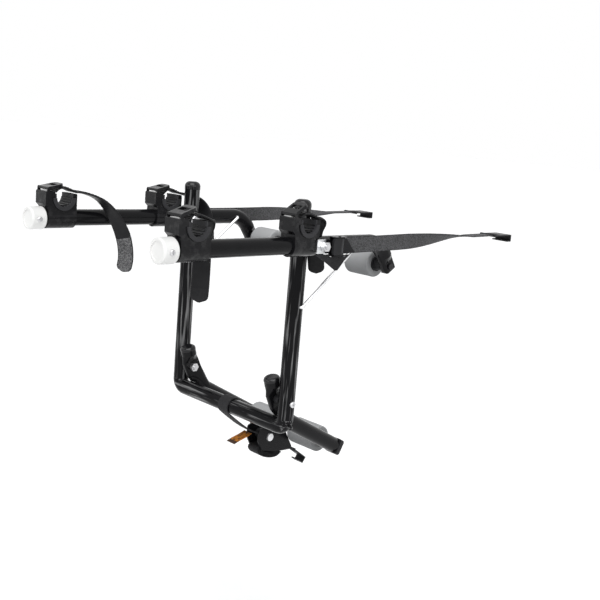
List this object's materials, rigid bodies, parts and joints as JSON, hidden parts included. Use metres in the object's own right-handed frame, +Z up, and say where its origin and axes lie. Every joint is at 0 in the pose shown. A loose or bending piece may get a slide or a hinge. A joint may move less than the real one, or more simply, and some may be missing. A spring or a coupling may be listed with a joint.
{
  "type": "trunk mounted bike rack",
  "caption": "Folding bike rack for a car's trunk: bent tube frame, two carry arms with strapped cradles, a padded foot, and webbing straps with hooks.",
  "frame": {"origin": "midpoint between the two bolts that the carry arms turn on", "axes": "+X to the right across the car, +Y forward towards the car, +Z up"},
  "size_m": [0.3858, 0.763, 0.4821],
  "materials": {
    "frame_paint": "gloss",
    "plated_steel": "polished",
    "bright_fasteners": "satin",
    "silver_sheet": "satin",
    "coated_hook": "satin",
    "cradle_plastic": "semi-gloss",
    "black_plastic": "satin",
    "white_plastic": "semi-gloss",
    "grey_rubber": "matt",
    "black_rubber": "matt",
    "grey_foam": "matt",
    "black_webbing": "matt",
    "orange_tag": "matt"
  },
  "bodies": {
    "frame": {"main_frame": "frame_paint", "post_caps": "black_plastic", "corner_rivets": "bright_fasteners", "pivot_bolts": "bright_fasteners", "foot_bolts": "bright_fasteners", "bolt_nuts": "bright_fasteners", "bolt_spacers": "black_plastic", "lower_strap": "black_webbing", "lower_strap_end": "black_webbing", "lower_strap_roll": "black_webbing", "lower_strap_tag": "orange_tag", "lower_buckle": "coated_hook"},
    "lower_lever": {"lower_buckle_lever": "black_plastic"},
    "lower_hook": {"lower_hook": "coated_hook"},
    "foot": {"foot_strut_left": "frame_paint", "foot_strut_right": "frame_paint", "strut_plugs": "black_plastic", "foot_end_caps": "black_plastic", "foot_crossbar": "frame_paint"},
    "foot_roller_left": {"foot_pad_left": "grey_foam", "foot_pad_spool_left": "black_plastic"},
    "foot_roller_right": {"foot_pad_right": "grey_foam", "foot_pad_spool_right": "black_plastic"},
    "arm_left": {"arm_left": "frame_paint", "arm_cap_left": "white_plastic", "arm_cap_screw_left": "bright_fasteners", "upper_pad_bolt_left": "bright_fasteners", "cradles_left": "cradle_plastic", "cradle_cushions_left": "grey_rubber", "cradle_strap_left_rear": "black_rubber", "cradle_strap_left_front": "black_rubber", "upper_buckle_left": "silver_sheet", "upper_strap_left": "black_webbing", "upper_strap_tail_left": "black_webbing"},
    "brace_left": {"brace_rod_left": "plated_steel"},
    "pad_left": {"upper_pad_left": "grey_foam", "upper_pad_spool_left": "black_plastic"},
    "lever_left": {"upper_buckle_lever_left": "black_plastic"},
    "hook_left": {"upper_hook_left": "coated_hook"},
    "buckle_left_rear": {"cradle_buckle_left_rear": "cradle_plastic"},
    "buckle_left_front": {"cradle_buckle_left_front": "cradle_plastic"},
    "arm_right": {"arm_right": "frame_paint", "arm_cap_right": "white_plastic", "arm_cap_screw_right": "bright_fasteners", "upper_pad_bolt_right": "bright_fasteners", "cradles_right": "cradle_plastic", "cradle_cushions_right": "grey_rubber", "cradle_strap_right_rear": "black_rubber", "cradle_strap_right_front": "black_rubber", "upper_buckle_right": "silver_sheet", "upper_strap_right": "black_webbing", "upper_strap_tail_right": "black_webbing"},
    "brace_right": {"brace_rod_right": "plated_steel"},
    "pad_right": {"upper_pad_right": "grey_foam", "upper_pad_spool_right": "black_plastic"},
    "lever_right": {"upper_buckle_lever_right": "black_plastic"},
    "hook_right": {"upper_hook_right": "coated_hook"},
    "buckle_right_rear": {"cradle_buckle_right_rear": "cradle_plastic"},
    "buckle_right_front": {"cradle_buckle_right_front": "cradle_plastic"}
  },
  "joints": [
    {"name": "foot_fold", "type": "hinge", "parent": "frame", "child": "foot", "pos_m": [0, 0, -0.248], "axis": [1, 0, 0], "range_deg": [0, 105]},
    {"name": "arm_fold_left", "type": "hinge", "parent": "frame", "child": "arm_left", "pos_m": [-0.1635, 0, 0], "axis": [1, 0, 0], "range_deg": [0, 80], "deforming": ["cradle_strap_left_rear", "cradle_strap_left_front"]},
    {"name": "arm_fold_right", "type": "hinge", "parent": "frame", "child": "arm_right", "pos_m": [0.1635, 0, 0], "axis": [1, 0, 0], "range_deg": [0, 80], "deforming": ["cradle_strap_right_rear", "cradle_strap_right_front"]},
    {"name": "lower_lever_turn", "type": "hinge", "parent": "frame", "child": "lower_lever", "pos_m": [0, 0.082, -0.353], "axis": [1, 0, 0], "range_deg": [0, 55], "stiffness_Nm_per_rad": 0.01},
    {"name": "lower_hook_swing", "type": "hinge", "parent": "frame", "child": "lower_hook", "pos_m": [0, 0.15005, -0.38993], "axis": [1, 0, 0], "range_deg": [-25, 30]},
    {"name": "brace_swing_left", "type": "hinge", "parent": "arm_left", "child": "brace_left", "pos_m": [-0.1475, 0.118, 0], "axis": [1, 0, 0], "range_deg": [-30, 0]},
    {"name": "pad_turn_left", "type": "hinge", "parent": "arm_left", "child": "pad_left", "pos_m": [-0.116, 0.1655, -0.0385], "axis": [1, 0, 0], "continuous": true},
    {"name": "foot_pad_turn_left", "type": "hinge", "parent": "foot", "child": "foot_roller_left", "pos_m": [-0.055, 0.13635, -0.34636], "axis": [1, 0, 0], "continuous": true},
    {"name": "strap_lever_left", "type": "hinge", "parent": "arm_left", "child": "lever_left", "pos_m": [-0.1879, 0.025, 0], "axis": [0, 0, -1], "range_deg": [0, 50], "stiffness_Nm_per_rad": 0.01},
    {"name": "hook_swing_left", "type": "hinge", "parent": "arm_left", "child": "hook_left", "pos_m": [-0.1665, 0.4325, 0.006], "axis": [1, 0, 0], "range_deg": [-30, 30]},
    {"name": "cradle_buckle_left_rear", "type": "hinge", "parent": "arm_left", "child": "buckle_left_rear", "pos_m": [-0.1635, -0.2555, 0.0455], "axis": [1, 0, 0], "range_deg": [0, 75]},
    {"name": "cradle_buckle_left_front", "type": "hinge", "parent": "arm_left", "child": "buckle_left_front", "pos_m": [-0.1635, -0.0565, 0.0455], "axis": [1, 0, 0], "range_deg": [0, 75]},
    {"name": "brace_swing_right", "type": "hinge", "parent": "arm_right", "child": "brace_right", "pos_m": [0.1475, 0.118, 0], "axis": [1, 0, 0], "range_deg": [-30, 0]},
    {"name": "pad_turn_right", "type": "hinge", "parent": "arm_right", "child": "pad_right", "pos_m": [0.116, 0.1655, -0.0385], "axis": [1, 0, 0], "continuous": true},
    {"name": "foot_pad_turn_right", "type": "hinge", "parent": "foot", "child": "foot_roller_right", "pos_m": [0.055, 0.13635, -0.34636], "axis": [1, 0, 0], "continuous": true},
    {"name": "strap_lever_right", "type": "hinge", "parent": "arm_right", "child": "lever_right", "pos_m": [0.1879, 0.025, 0], "axis": [0, 0, 1], "range_deg": [0, 50], "stiffness_Nm_per_rad": 0.01},
    {"name": "hook_swing_right", "type": "hinge", "parent": "arm_right", "child": "hook_right", "pos_m": [0.1665, 0.4325, 0.006], "axis": [1, 0, 0], "range_deg": [-30, 30]},
    {"name": "cradle_buckle_right_rear", "type": "hinge", "parent": "arm_right", "child": "buckle_right_rear", "pos_m": [0.1635, -0.2555, 0.0455], "axis": [1, 0, 0], "range_deg": [0, 75]},
    {"name": "cradle_buckle_right_front", "type": "hinge", "parent": "arm_right", "child": "buckle_right_front", "pos_m": [0.1635, -0.0565, 0.0455], "axis": [1, 0, 0], "range_deg": [0, 75]}
  ],
  "couplings": [
    {"joint": "brace_swing_left", "follows": "arm_fold_left", "ratio": -0.375},
    {"joint": "brace_swing_right", "follows": "arm_fold_right", "ratio": -0.375}
  ]
}
